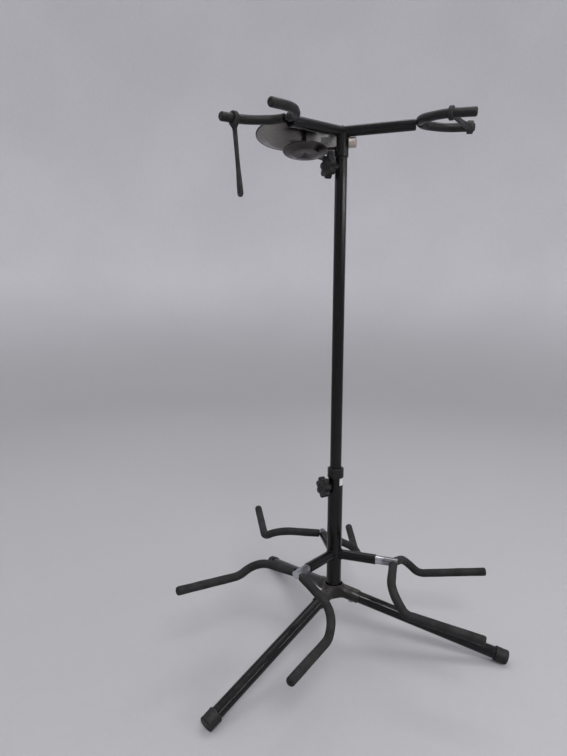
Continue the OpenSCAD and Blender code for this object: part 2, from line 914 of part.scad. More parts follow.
// Fork; left_tip and right_tip say how its tips stand off their usual place
module fork(dir, turn, drawn, left_tip, right_tip) {
    color(chrome)
        at_fork(dir, turn, drawn) {
            x_bar(-slip_d / 2, slip_d / 2, slip_d);
            x_bar(-slip_d / 2 - fork_spigot_len, 0, fork_spigot_d);
            bent_rod(fork_path(1, left_tip), fork_bends, fork_rod_d);
            bent_rod(fork_path(-1, right_tip), fork_bends, fork_rod_d);
        }
}

module fork_sleeve(dir, turn, drawn, side, tip) {
    color(rubber_black)
        at_fork(dir, turn, drawn)
            sleeve(fork_path(side, tip), fork_bends, fork_sleeve_start, fork_rod_d,
                fork_sleeve_d);
}

// Strip bent round the collar, open at the front right, with two ears and an end plate
module tray_clip() {
    color(chrome)
        facing(tray_dir, clip_z)
            difference() {
                linear_extrude(height = clip_h, center = true)
                    difference() {
                        union() {
                            circle(d = clip_d);
                            translate([0, -clip_d / 2])
                                square([clip_reach, clip_d]);
                        }
                        circle(d = clip_bore);
                        translate([0, -clip_bore / 2])
                            square([clip_reach - clip_t, clip_bore]);
                        rotate(clip_gap_from)
                            square(clip_d);
                        rotate(clip_gap_to - 90)
                            square(clip_d);
                    }
                x_bar(-clip_d, 0, thumb_screw_d + 2 * seat_gap);
            }
}

module tray_thumb_screw() {
    color([0.72, 0.55, 0.3])
        facing(tray_dir + 180, clip_z) {
            x_bar(collar_d / 2 + seat_gap, clip_d / 2 + thumb_head_gap, thumb_screw_d);
            x_bar(clip_d / 2 + thumb_head_gap, clip_d / 2 + thumb_head_gap + thumb_head_t,
                thumb_d);
        }
}

// Places its children on the trays' tilted bracket, with +X out along it
module on_bracket() {
    facing(tray_dir, tray_axis_z)
        rotate([tray_tilt, 0, 0])
            rotate([0, tray_pitch, 0])
                children();
}

module tray_bracket() {
    color(chrome)
        difference() {
            on_bracket()
                translate([clip_reach + seat_gap, -strip_w / 2, -strip_t / 2])
                    cube([tray_post_out + strip_w / 2 - clip_reach, strip_w, strip_t]);
            tray_post_hole(0);
        }
}

// Hole for the trays' post through a sheet at height z over the strip
module tray_post_hole(z) {
    on_bracket()
        translate([tray_post_out, tray_post_side, z - 2 * strip_t])
            cylinder(h = 4 * strip_t, d = post_rod_d + 2 * seat_gap);
}

// Riveted post through the strip, with a shoulder between the strip and each tray
module tray_post() {
    large_floor = large_tray_lift - large_tray_depth;
    small_floor = -small_tray_sink - small_tray_depth;
    color(chrome)
        on_bracket()
            translate([tray_post_out, tray_post_side, 0]) {
                post_disc(small_floor - post_head_t, small_floor, post_head_d);
                post_disc(small_floor - post_head_t, large_floor + tray_t + post_head_t,
                    post_rod_d);
                post_disc(small_floor + tray_t, -strip_t / 2, post_head_d);
                post_disc(strip_t / 2, large_floor, post_head_d);
                post_disc(large_floor + tray_t, large_floor + tray_t + post_head_t,
                    post_head_d);
            }
}

// Round length of the post from height a to height b, less the gap at each end
module post_disc(a, b, d) {
    translate([0, 0, a + seat_gap])
        cylinder(h = b - a - 2 * seat_gap, d = d);
}

// Round dish with a flat floor, a sloping side and a rolled rim; its rim is at height 0
module dish(d, depth) {
    floor_d = d - 4 * depth;
    rotate_extrude() {
        translate([0, -depth])
            square([floor_d / 2 + tray_t / 2, tray_t]);
        polygon([
            [floor_d / 2, -depth],
            [d / 2 - rim_r, -rim_r],
            [d / 2 - rim_r, tray_t - rim_r],
            [floor_d / 2, tray_t - depth]]);
        translate([d / 2 - rim_r, -rim_r / 2])
            circle(r = rim_r);
    }
}

module large_tray() {
    color(chrome)
        difference() {
            on_bracket()
                translate([large_tray_out, large_tray_side, large_tray_lift])
                    dish(large_tray_d, large_tray_depth);
            tray_post_hole(large_tray_lift - large_tray_depth);
        }
}

module small_tray() {
    color(chrome)
        difference() {
            on_bracket()
                translate([small_tray_out, small_tray_side, -small_tray_sink])
                    dish(small_tray_d, small_tray_depth);
            tray_post_hole(-small_tray_sink - small_tray_depth);
        }
}

hub();
leg(front_leg_dir);  // front_leg
leg(right_leg_dir);  // right_leg
leg(left_leg_dir);  // left_leg
foot(front_leg_dir);  // front_foot
foot(right_leg_dir);  // right_foot
foot(left_leg_dir);  // left_foot
leg_screws();
hub_bolt();
tube_plug();
lower_tube();
stub(front_stub_dir);  // front_stub
stub(right_stub_dir);  // right_stub
stub(left_stub_dir);  // left_stub
lower_boss();
lower_bush();
blank_label();
lower_knob();
lower_knob_screw();
upper_tube();
upper_boss();
upper_bush();
upper_knob();
upper_knob_screw();
head_post();
head_collar();
arm(front_arm_dir, front_arm_slope);  // front_arm
arm(right_arm_dir, right_arm_slope);  // right_arm
arm(left_arm_dir, left_arm_slope);  // left_arm
yoke(front_arm_dir, front_arm_slope, front_yoke_turn, front_yoke_dip);  // front_yoke
yoke(right_arm_dir, right_arm_slope, right_yoke_turn, right_yoke_dip);  // right_yoke
yoke(left_arm_dir, left_arm_slope, left_yoke_turn, left_yoke_dip);  // left_yoke
yoke_sleeve(front_arm_dir, front_arm_slope, front_yoke_turn, front_yoke_dip, 1);  // front_yoke_left_sleeve
yoke_sleeve(front_arm_dir, front_arm_slope, front_yoke_turn, front_yoke_dip, -1);  // front_yoke_right_sleeve
yoke_sleeve(right_arm_dir, right_arm_slope, right_yoke_turn, right_yoke_dip, 1);  // right_yoke_left_sleeve
yoke_sleeve(right_arm_dir, right_arm_slope, right_yoke_turn, right_yoke_dip, -1);  // right_yoke_right_sleeve
yoke_sleeve(left_arm_dir, left_arm_slope, left_yoke_turn, left_yoke_dip, 1);  // left_yoke_left_sleeve
yoke_sleeve(left_arm_dir, left_arm_slope, left_yoke_turn, left_yoke_dip, -1);  // left_yoke_right_sleeve
hanging_strap(front_arm_dir, front_arm_slope, front_yoke_turn, front_yoke_dip);  // front_strap
closed_strap(right_arm_dir, right_arm_slope, right_yoke_turn, right_yoke_dip);  // right_strap
closed_strap(left_arm_dir, left_arm_slope, left_yoke_turn, left_yoke_dip);  // left_strap
slip_tube(front_stub_dir, front_fork_drawn);  // front_slip_tube
slip_tube(right_stub_dir, right_fork_drawn);  // right_slip_tube
slip_tube(left_stub_dir, 0);  // left_slip_tube
fork(front_stub_dir, front_fork_turn, front_fork_drawn, wide_tip, wide_tip);  // front_fork
fork(right_stub_dir, right_fork_turn, right_fork_drawn, high_tip, low_tip);  // right_fork
fork(left_stub_dir, left_fork_turn, 0, tucked_tip, high_tip);  // left_fork
fork_sleeve(front_stub_dir, front_fork_turn, front_fork_drawn, 1, wide_tip);  // front_fork_left_sleeve
fork_sleeve(front_stub_dir, front_fork_turn, front_fork_drawn, -1, wide_tip);  // front_fork_right_sleeve
fork_sleeve(right_stub_dir, right_fork_turn, right_fork_drawn, 1, high_tip);  // right_fork_left_sleeve
fork_sleeve(right_stub_dir, right_fork_turn, right_fork_drawn, -1, low_tip);  // right_fork_right_sleeve
fork_sleeve(left_stub_dir, left_fork_turn, 0, 1, tucked_tip);  // left_fork_left_sleeve
fork_sleeve(left_stub_dir, left_fork_turn, 0, -1, high_tip);  // left_fork_right_sleeve
tray_clip();
tray_thumb_screw();
tray_bracket();
tray_post();
large_tray();
small_tray();
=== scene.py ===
import json
import math

import bpy
import numpy as np
from mathutils import Matrix, Vector


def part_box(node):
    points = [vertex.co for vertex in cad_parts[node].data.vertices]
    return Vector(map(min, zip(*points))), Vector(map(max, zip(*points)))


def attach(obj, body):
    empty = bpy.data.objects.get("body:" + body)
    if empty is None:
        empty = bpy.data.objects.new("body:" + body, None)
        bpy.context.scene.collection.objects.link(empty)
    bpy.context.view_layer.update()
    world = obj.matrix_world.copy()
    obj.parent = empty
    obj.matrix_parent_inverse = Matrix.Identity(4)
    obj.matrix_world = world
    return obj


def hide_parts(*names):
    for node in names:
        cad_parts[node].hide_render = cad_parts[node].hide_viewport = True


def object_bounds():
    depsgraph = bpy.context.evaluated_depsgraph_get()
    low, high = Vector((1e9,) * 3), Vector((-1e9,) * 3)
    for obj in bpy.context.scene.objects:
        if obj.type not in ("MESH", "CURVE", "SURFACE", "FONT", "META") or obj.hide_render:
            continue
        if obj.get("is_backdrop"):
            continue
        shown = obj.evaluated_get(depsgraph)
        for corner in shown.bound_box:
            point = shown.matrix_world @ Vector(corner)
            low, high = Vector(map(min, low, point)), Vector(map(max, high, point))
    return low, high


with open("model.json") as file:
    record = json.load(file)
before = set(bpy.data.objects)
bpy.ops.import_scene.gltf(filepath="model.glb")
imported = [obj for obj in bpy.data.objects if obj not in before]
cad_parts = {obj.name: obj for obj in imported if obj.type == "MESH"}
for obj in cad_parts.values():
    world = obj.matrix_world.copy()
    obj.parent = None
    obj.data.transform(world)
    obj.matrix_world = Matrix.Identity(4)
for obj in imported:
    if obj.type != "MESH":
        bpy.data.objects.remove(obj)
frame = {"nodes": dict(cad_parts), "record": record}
cad_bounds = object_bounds()

# Sizes of the part, in millimetres and degrees, as its source gives them
ARM_Z = 981
ARM_R = 9.5
YOKE_OUT = 135.5
YOKE_RISE = 3.5
STUB_Z = 188
STUB_R = 9.5
FORK_IN = 92
LOWER_R = 14.5
UPPER_R = 11
BOSS_R = 7
LOWER_KNOB_Z = 329
UPPER_KNOB_Z = 920
KNOB_DIR = 252
KNOB_SEAT = 19
COLLAR_R = 12.8
TRAY_DIR = 210
TRAY_Z = 964
TRAY_TILT = 11
TRAY_PITCH = 3
LEG_MEET_Z = 116
FOOT_R = 13.75
FOOT_REACH = 331
FOOT_H = 117

# Arm: direction, slope, turn of the yoke, dip of its prongs
ARMS = {"front": (270, -2, -1, 1), "right": (30, 1.5, 2, 3), "left": (150, 0.9, 22, 0)}
# Stub: direction, turn of the fork, distance that its slip tube is drawn out
STUBS = {"front": (274.5, -10, 18), "right": (27, -8.5, 25), "left": (145.5, 18, 0)}
# How much wider and higher than usual each fork's left and right tips stand
TIPS = {"front": ((14, 0), (14, 0)), "right": ((0, 10), (0, -25)), "left": ((-9, 0), (0, 10))}
# Directions of the legs, and of the seams half way between two arms
LEGS = {"front": 273.5, "right": 33, "left": 158.5}
ARM_SEAMS = {"front_right": 330, "right_left": 90, "left_front": 210}
# Words for the two rods of a yoke or fork, as seen from the mast, and their sides of its axis
SIDES = (("left", 1), ("right", -1))


# Placing

def moved(x, y=0, z=0):
    return Matrix.Translation((x, y, z))


def turned(axis, degrees):
    return Matrix.Rotation(math.radians(degrees), 4, axis)


def facing(direction, height):
    """Axes at a height on the mast's axis, with +X out in a direction"""
    return moved(0, 0, height) @ turned("Z", direction)


def on_arm(name):
    direction, slope = ARMS[name][:2]
    return facing(direction, ARM_Z) @ turned("Y", -slope)


def on_prongs(name):
    """Axes at the middle of a yoke's rod, in the plane of its prongs"""
    turn, dip = ARMS[name][2:]
    return on_arm(name) @ turned("X", turn) @ moved(YOKE_OUT, 0, YOKE_RISE) @ turned("Y", dip)


def on_fork(name):
    direction, turn, drawn = STUBS[name][:3]
    return facing(direction, STUB_Z) @ turned("X", turn) @ moved(FORK_IN + drawn)


leg_tilt = math.acos(FOOT_R / math.hypot(FOOT_REACH, FOOT_H)) - math.atan2(FOOT_REACH, FOOT_H)
leg_run = FOOT_REACH * math.cos(leg_tilt) + FOOT_H * math.sin(leg_tilt)


def on_leg(name):
    """Axes of a leg, with +Z out and down along it"""
    return (moved(0, 0, LEG_MEET_Z) @ turned("Z", LEGS[name])
            @ turned("Y", 90 + math.degrees(leg_tilt)))


def on_knob(height):
    return facing(KNOB_DIR, height) @ moved(KNOB_SEAT) @ turned("Y", 90)


def placed(points, matrix):
    """Points in millimetres taken through a placing, in metres"""
    m = np.array(matrix)
    return (np.asarray(points, float).reshape(-1, 3) @ m[:3, :3].T + m[:3, 3]) / 1000


def local(points, matrix):
    """Points in the part's axes, in millimetres, seen from a placing's axes"""
    m = np.array(matrix.inverted())
    return points @ m[:3, :3].T + m[:3, 3]


# Meshes

def mesh_piece(name, vertices, faces):
    mesh = bpy.data.meshes.new(name)
    mesh.from_pydata([tuple(v) for v in vertices], [], [tuple(f) for f in faces])
    mesh.update()
    mesh.shade_smooth()
    piece = bpy.data.objects.new(name, mesh)
    bpy.context.scene.collection.objects.link(piece)
    return piece


def ring_faces(count, segments, closed=True):
    """Faces between rings of points, the last ring joined to the first where closed"""
    return [(i * segments + j, i * segments + (j + 1) % segments,
             (i + 1) % count * segments + (j + 1) % segments, (i + 1) % count * segments + j)
            for i in range(count if closed else count - 1) for j in range(segments)]


def full_turn(segments):
    return np.linspace(0, 2 * math.pi, segments, endpoint=False)


def turned_profile(profile, segments):
    """Rings of points made by turning a profile of radius and height about +Z"""
    profile = np.array(profile, float)
    angle = full_turn(segments)
    return np.stack([profile[:, :1] * np.cos(angle), profile[:, :1] * np.sin(angle),
                     np.repeat(profile[:, 1:], segments, 1)], -1)


def unit(v):
    return v / np.linalg.norm(v)


def rounded(corners, radii, step=2.0):
    """Points along a path whose inner corners are bent to the radii given"""
    corners = [np.array(c, float) for c in corners]
    points = [corners[0]]
    for i, radius in enumerate(radii, 1):
        u, w = unit(corners[i] - corners[i - 1]), unit(corners[i + 1] - corners[i])
        angle = math.acos(np.clip(u @ w, -1, 1))
        inward = unit(w - u * (u @ w))
        centre = corners[i] - u * radius * math.tan(angle / 2) + inward * radius
        for t in np.linspace(0, angle, max(5, int(math.degrees(angle) / 4))):
            points.append(centre + radius * (u * math.sin(t) - inward * math.cos(t)))
    points.append(corners[-1])
    dense = []
    for a, b in zip(points[:-1], points[1:]):
        n = max(1, round(np.linalg.norm(b - a) / step))
        dense += [a + (b - a) * k / n for k in range(n)]
    return np.array(dense + [points[-1]])


# A direction that no line here runs along, to start a line's frames from
ASKEW = (0.31, 0.17, 0.93)


def frames(points, closed=False):
    """Distance along a line of points, and a frame at each that doesn't twist"""
    if closed:
        tangent = np.roll(points, -1, 0) - np.roll(points, 1, 0)
    else:
        tangent = np.gradient(points, axis=0)
    tangent /= np.linalg.norm(tangent, axis=1)[:, None]
    normal = [unit(np.cross(tangent[0], ASKEW))]
    for t in tangent[1:]:
        normal.append(unit(normal[-1] - t * (normal[-1] @ t)))
    normal = np.array(normal)
    away = np.r_[0, np.cumsum(np.linalg.norm(np.diff(points, axis=0), axis=1))]
    return away, tangent, normal, np.cross(tangent, normal)


# Folds inside a bend are full at this radius of bend, and follow each other at this rate
FOLD_BEND_R = 22
FOLD_RATE = 1.9


def swept(name, points, profile, matrix, segments, wrinkle):
    """Closed skin swept along a line; profile is a closed loop of distance and radius

    It is slightly lumpy all over and folded inside the bends, by amounts that grow with wrinkle.
    """
    away, tangent, normal, side = frames(points)
    curve = np.gradient(tangent, axis=0) / np.gradient(away)[:, None]
    s, r = np.array(profile, float).T

    def at(values):
        return np.stack([np.interp(s, away, values[:, k]) for k in range(3)], -1)

    centre, n, b, bend = at(points), at(normal), at(side), at(curve)
    past = np.clip(s - away[-1], 0, None)[:, None] + np.clip(s - away[0], None, 0)[:, None]
    centre = centre + past * at(tangent)
    angle = full_turn(segments)
    out = np.cos(angle)[None, :, None] * n[:, None] + np.sin(angle)[None, :, None] * b[:, None]
    inner = np.clip(np.einsum("ijk,ik->ij", out, bend) * FOLD_BEND_R, 0, 1)
    lumps = (0.09 * np.sin(s / 7.3)[:, None] * np.sin(angle * 2 + 1)[None]
             + 0.07 * np.sin(s / 17.1 + 2)[:, None] * np.cos(angle + s[:, None] / 31))
    folds = inner * (0.32 * np.sin(s * FOLD_RATE)[:, None] - 0.2)
    radius = r[:, None] + wrinkle * (lumps + folds)
    ring = centre[:, None] + radius[..., None] * out
    return mesh_piece(name, placed(ring, matrix), ring_faces(len(s), segments))


def bead(name, points, radius, matrix, closed=True, segments=10):
    """Weld bead along a line, with the small steps that the puddle leaves"""
    away, _, normal, side = frames(points, closed)
    angle = full_turn(segments)
    grow = 1 + 0.16 * np.sin(away * 3.1) + 0.1 * np.sin(away * 0.9 + 1)
    if not closed:
        grow = grow * np.clip(np.minimum(away, away[-1] - away) / 1.5, 0.15, 1) ** 0.5
    ring = points[:, None] + (radius * grow)[:, None, None] * (
        np.cos(angle)[None, :, None] * normal[:, None]
        + np.sin(angle)[None, :, None] * side[:, None])
    faces = ring_faces(len(points), segments, closed)
    if not closed:
        faces += [tuple(range(segments))[::-1],
                  tuple((len(points) - 1) * segments + j for j in range(segments))]
    return mesh_piece(name, placed(ring, matrix), faces)


# Step in millimetres over which a field's slope is measured
NUDGE = 0.05


def moulded(name, field, low, high, step, matrix=None):
    """Skin of the space where field is negative; field takes points in millimetres

    Each cell of a grid that the surface crosses gets one point, which then slides onto the
    surface, and each edge of the grid that it crosses gets one face.
    """
    axes = [np.arange(a, b + step, step) for a, b in zip(low, high)]
    grid = np.stack(np.meshgrid(*axes, indexing="ij"), -1)
    value = field(grid.reshape(-1, 3)).reshape(grid.shape[:3])
    # A point right on the surface counts as outside
    value[value == 0] = 1e-9
    total = np.zeros(grid.shape)
    found = np.zeros(grid.shape[:3])
    crossings = []
    for k in range(3):
        low_end = [slice(None)] * 3
        high_end = [slice(None)] * 3
        low_end[k], high_end[k] = slice(None, -1), slice(1, None)
        v0, v1 = value[tuple(low_end)], value[tuple(high_end)]
        cross = (v0 < 0) != (v1 < 0)
        t = np.where(cross, v0 / np.where(cross, v0 - v1, 1), 0)[..., None]
        point = grid[tuple(low_end)] * (1 - t) + grid[tuple(high_end)] * t
        i, j = [a for a in range(3) if a != k]
        at = np.argwhere(cross)
        at = at[(at[:, i] > 0) & (at[:, j] > 0)]
        crossings.append((k, i, j, at, v0[tuple(at.T)] < 0))
        for di in (0, 1):
            for dj in (0, 1):
                cell = at.copy()
                cell[:, i] -= di
                cell[:, j] -= dj
                np.add.at(total, tuple(cell.T), point[tuple(at.T)])
                np.add.at(found, tuple(cell.T), 1)
    index = np.full(grid.shape[:3], -1)
    used = found > 0
    index[used] = np.arange(used.sum())
    vertices = total[used] / found[used][:, None]
    for _ in range(2):
        here = field(vertices)
        slope = np.stack([(field(vertices + d) - field(vertices - d)) / (2 * NUDGE)
                          for d in NUDGE * np.eye(3)], -1)
        shift = slope * (here / np.clip((slope ** 2).sum(1), 0.3, None))[:, None]
        vertices = vertices - np.clip(shift, -step / 2, step / 2)
    faces = []
    for k, i, j, at, starts_inside in crossings:
        quad = []
        for di, dj in ((1, 1), (0, 1), (0, 0), (1, 0)):
            cell = at.copy()
            cell[:, i] -= di
            cell[:, j] -= dj
            quad.append(index[tuple(cell.T)])
        quad = np.stack(quad, -1)
        flip = starts_inside if k == 1 else ~starts_inside
        quad[flip] = quad[flip][:, ::-1]
        faces.append(quad)
    faces = np.concatenate(faces)
    faces = faces[(faces >= 0).all(1)]
    return mesh_piece(name, placed(vertices, matrix or Matrix.Identity(4)), faces)


def lathed(name, profile, matrix, segments=96):
    """Closed skin turned about +Z; profile is a closed loop of radius and height"""
    ring = turned_profile(profile, segments)
    return mesh_piece(name, placed(ring, matrix), ring_faces(len(profile), segments))


# Distance fields, in millimetres

def edged(a, b, edge):
    """Meeting of two fields with its outer edge rounded"""
    a, b = a + edge, b + edge
    return (np.hypot(np.clip(a, 0, None), np.clip(b, 0, None))
            + np.minimum(np.maximum(a, b), 0) - edge)


def joined(a, b, fillet):
    """Union of two fields with a fillet"""
    h = np.clip(fillet - np.abs(a - b), 0, None) / fillet
    return np.minimum(a, b) - h * h * fillet / 4


def cut_by(a, b, edge):
    """The first field less the second, with a small rounded edge"""
    return -joined(-a, b, edge)


def slab(x, a, b):
    """Distance of x from the span between a and b"""
    return np.abs(x - (a + b) / 2) - (b - a) / 2


def round_bar(p, r, a, b, edge):
    """Round bar along Z from a to b"""
    return edged(np.hypot(p[:, 0], p[:, 1]) - r, slab(p[:, 2], a, b), edge)


# Finishes

class Shader:
    """A principled material under construction, with its textures in the part's own axes"""

    def __init__(self, name, colour, rough, metal=0.0, **sockets):
        self.material = bpy.data.materials.new(name)
        self.material.use_nodes = True
        self.nodes = self.material.node_tree.nodes
        self.links = self.material.node_tree.links
        self.shader = self.nodes["Principled BSDF"]
        self.shader.inputs["Base Color"].default_value = (*colour, 1)
        self.shader.inputs["Roughness"].default_value = rough
        self.shader.inputs["Metallic"].default_value = metal
        for key, value in sockets.items():
            self.shader.inputs[key.replace("_", " ")].default_value = value
        self.place = self.nodes.new("ShaderNodeTexCoord").outputs["Object"]
        self.height = None

    def link(self, source, target):
        self.links.new(source, target)

    def stretched(self, x, y, z):
        """The part's axes with a scale of their own along each, for streaks of rubbing and
        painted highlight, or drawn surfaces
        """
        node = self.nodes.new("ShaderNodeMapping")
        node.inputs["Scale"].default_value = (x, y, z)
        self.link(self.place, node.inputs["Vector"])
        return node.outputs["Vector"]

    def noise(self, scale, detail, low=0.35, high=0.65, where=None):
        node = self.nodes.new("ShaderNodeTexNoise")
        node.inputs["Scale"].default_value = scale
        node.inputs["Detail"].default_value = detail
        self.link(where or self.place, node.inputs["Vector"])
        return self.between(node.outputs["Fac"], low, high)

    def cells(self, scale, low, high):
        node = self.nodes.new("ShaderNodeTexVoronoi")
        node.inputs["Scale"].default_value = scale
        self.link(self.place, node.inputs["Vector"])
        return self.between(node.outputs["Distance"], low, high)

    def upward(self, low):
        """High where the surface faces up"""
        node = self.nodes.new("ShaderNodeSeparateXYZ")
        geometry = self.nodes.new("ShaderNodeNewGeometry")
        self.link(geometry.outputs["Normal"], node.inputs["Vector"])
        return self.between(node.outputs["Z"], low, 1.0)

    def along(self, direction, low, high):
        """Runs from 0 to 1 between two distances, in metres, along a direction of the part"""
        node = self.nodes.new("ShaderNodeVectorMath")
        node.operation = "DOT_PRODUCT"
        node.inputs[1].default_value = direction
        self.link(self.place, node.inputs[0])
        return self.between(node.outputs["Value"], low, high)

    def between(self, source, low, high):
        """Runs smoothly from 0 to 1 as source goes from low to high"""
        node = self.nodes.new("ShaderNodeMapRange")
        node.interpolation_type = "SMOOTHSTEP"
        node.inputs["From Min"].default_value = low
        node.inputs["From Max"].default_value = high
        self.link(source, node.inputs["Value"])
        return node.outputs["Result"]

    def times(self, a, b):
        node = self.nodes.new("ShaderNodeMath")
        node.operation = "MULTIPLY"
        self.link(a, node.inputs[0])
        if isinstance(b, (int, float)):
            node.inputs[1].default_value = b
        else:
            self.link(b, node.inputs[1])
        return node.outputs["Value"]

    def colour(self, factor, tint):
        """Lays a tint over the base colour where factor is high"""
        node = self.nodes.new("ShaderNodeMix")
        node.data_type = "RGBA"
        target = self.shader.inputs["Base Color"]
        if target.links:
            self.link(target.links[0].from_socket, node.inputs["A"])
        else:
            node.inputs["A"].default_value = target.default_value
        node.inputs["B"].default_value = (*tint, 1)
        self.link(factor, node.inputs["Factor"])
        self.link(node.outputs["Result"], target)

    def patches(self, noise, share, tint):
        """Lays a share of a tint over the places where a noise is high"""
        self.colour(self.times(self.noise(*noise), share), tint)

    def dust(self, noise, share, tint, low=0.2):
        """Lays patches of a tint where the surface faces up more than low"""
        settled = self.times(self.noise(*noise), share)
        self.colour(self.times(self.upward(low), settled), tint)

    def rough(self, factor, low, high):
        """Lets the roughness run from low to high with factor"""
        node = self.nodes.new("ShaderNodeMapRange")
        node.inputs["To Min"].default_value = low
        node.inputs["To Max"].default_value = high
        self.link(factor, node.inputs["Value"])
        self.link(node.outputs["Result"], self.shader.inputs["Roughness"])

    def bump(self, factor, depth):
        """Raises the surface by depth, in metres, where factor is high"""
        node = self.nodes.new("ShaderNodeBump")
        node.inputs["Distance"].default_value = depth
        self.link(factor, node.inputs["Height"])
        if self.height is not None:
            self.link(self.height, node.inputs["Normal"])
        self.height = node.outputs["Normal"]
        self.link(self.height, self.shader.inputs["Normal"])
        return self


def black_paint():
    m = Shader("black_paint", (0.0035, 0.0034, 0.0036), 0.2, Specular_IOR_Level=0.26)
    m.rough(m.noise(26, 5), 0.1, 0.26)
    m.patches((9, 4, 0.45, 0.75), 0.5, (0.008, 0.0078, 0.008))
    m.dust((70, 6, 0.4, 0.8), 0.22, (0.03, 0.029, 0.028), 0.3)
    # Lighter streaks along the height: rubbed marks, and partly painted highlight standing for
    # mottled reflections
    scuffs_and_highlights = m.noise(1, 2, 0.66, 0.74, m.stretched(700, 700, 18))
    m.colour(m.times(scuffs_and_highlights, 0.35), (0.03, 0.029, 0.03))
    m.colour(m.noise(330, 1, 0.8, 0.83), (0.1, 0.097, 0.094))
    m.bump(m.noise(1100, 2, 0.2, 0.8), 0.00004).bump(m.noise(60, 2, 0.2, 0.8), 0.00012)
    return m


def dusty_paint():
    m = Shader("dusty_paint", (0.006, 0.0055, 0.0055), 0.4, Specular_IOR_Level=0.3)
    m.rough(m.noise(40, 5), 0.28, 0.6)
    m.patches((30, 5, 0.3, 0.7), 0.7, (0.022, 0.019, 0.0175))
    m.dust((110, 6, 0.3, 0.75), 0.7, (0.075, 0.066, 0.06), 0.1)
    m.bump(m.noise(500, 3, 0.2, 0.8), 0.00012).bump(m.noise(60, 2, 0.2, 0.8), 0.0003)
    return m


def chrome_tube():
    m = Shader("chrome_tube", (0.5, 0.51, 0.54), 0.1, 1.0)
    m.rough(m.noise(40, 5), 0.05, 0.22)
    m.patches((38, 4, 0.35, 0.6), 0.85, (0.16, 0.155, 0.16))
    m.patches((120, 6, 0.5, 0.75), 0.6, (0.2, 0.19, 0.19))
    m.colour(m.noise(420, 2, 0.74, 0.8), (0.12, 0.09, 0.07))
    m.bump(m.noise(1, 2, 0.3, 0.7, m.stretched(2200, 2200, 60)), 0.00002)
    return m


def zinc():
    m = Shader("zinc", (0.5, 0.51, 0.52), 0.35, 1.0)
    m.rough(m.noise(300, 4), 0.28, 0.5)
    m.patches((90, 5), 0.5, (0.34, 0.33, 0.31))
    m.bump(m.noise(1500, 3, 0.2, 0.8), 0.00003)
    return m


def polished_steel():
    # Level directions, to the right and to the left in the photograph
    rightward, leftward = (0.696, 0.718, 0), (-0.696, -0.718, 0)
    m = Shader("polished_steel", (0.27, 0.265, 0.245), 0.3, 1.0)
    m.rough(m.noise(22, 5), 0.22, 0.4)
    # Painted shade: a darker band across the middle of the dish, laid along a fixed level
    # direction
    m.colour(m.times(m.along(rightward, -0.14, -0.085), m.along(leftward, 0.042, 0.055)),
             (0.1, 0.092, 0.088))
    # Painted highlight: the dish's end towards the right is lightened
    m.colour(m.along(rightward, -0.05, -0.038), (0.5, 0.5, 0.46))
    m.patches((9, 3, 0.35, 0.7), 0.3, (0.17, 0.155, 0.15))
    m.patches((160, 6, 0.5, 0.8), 0.3, (0.12, 0.11, 0.1))
    m.bump(m.noise(14, 2, 0.1, 0.9), 0.0006).bump(m.noise(1400, 2, 0.2, 0.8), 0.00002)
    return m


def dark_steel():
    m = Shader("dark_steel", (0.075, 0.066, 0.066), 0.26, 1.0)
    m.rough(m.noise(22, 5), 0.18, 0.38)
    m.colour(m.noise(11, 3, 0.35, 0.7), (0.04, 0.035, 0.036))
    m.patches((160, 6, 0.5, 0.8), 0.3, (0.03, 0.026, 0.026))
    m.bump(m.noise(14, 2, 0.1, 0.9), 0.0006).bump(m.noise(1400, 2, 0.2, 0.8), 0.00002)
    return m


def brass_screw():
    m = Shader("brass_screw", (0.6, 0.53, 0.47), 0.34, 1.0)
    m.rough(m.noise(60, 4), 0.3, 0.5)
    m.patches((140, 5), 0.5, (0.42, 0.35, 0.29))
    m.bump(m.noise(900, 3, 0.2, 0.8), 0.00005)
    return m


def foot_rubber():
    m = Shader("foot_rubber", (0.009, 0.0088, 0.0095), 0.62, Specular_IOR_Level=0.3)
    m.rough(m.noise(50, 4), 0.5, 0.8)
    m.patches((80, 6, 0.4, 0.75), 0.5, (0.02, 0.0195, 0.0185))
    m.dust((240, 6, 0.3, 0.8), 0.4, (0.045, 0.043, 0.04))
    m.bump(m.noise(900, 4, 0.2, 0.8), 0.00012)
    return m


def sleeve_finish(name, base, pores, gloss):
    """Dull black of a soft sleeve: brightness, depth of pores, and range of roughness"""
    m = Shader(name, (base, base * 0.97, base), 0.6, Specular_IOR_Level=0.3)
    m.rough(m.noise(45, 5), *gloss)
    m.patches((35, 6, 0.4, 0.75), 0.6, (base * 2, base * 1.9, base * 1.95))
    m.dust((110, 6, 0.3, 0.8), 0.5, (0.026, 0.025, 0.0255), 0.1)
    m.bump(m.cells(1500, 0.05, 0.5), pores).bump(m.noise(240, 4, 0.2, 0.8), 0.0003)
    return m


def sleeve_rubber():
    return sleeve_finish("sleeve_rubber", 0.0065, 0.0001, (0.3, 0.52))


def foam():
    return sleeve_finish("foam", 0.013, 0.00024, (0.6, 0.85))


def strap_rubber():
    m = Shader("strap_rubber", (0.016, 0.0155, 0.0165), 0.6, Specular_IOR_Level=0.3)
    m.rough(m.noise(70, 5), 0.5, 0.78)
    m.patches((60, 6, 0.4, 0.75), 0.6, (0.04, 0.039, 0.04))
    m.dust((150, 5, 0.3, 0.8), 0.5, (0.08, 0.076, 0.074), 0.1)
    m.bump(m.noise(700, 4, 0.2, 0.8), 0.00012)
    return m


def black_plastic():
    m = Shader("black_plastic", (0.006, 0.0057, 0.006), 0.42, Specular_IOR_Level=0.28)
    m.rough(m.noise(70, 5), 0.36, 0.6)
    m.patches((90, 6, 0.45, 0.8), 0.5, (0.018, 0.0175, 0.017))
    m.dust((200, 6, 0.35, 0.8), 0.3, (0.06, 0.057, 0.053))
    m.bump(m.cells(1300, 0.05, 0.6), 0.00008)
    return m


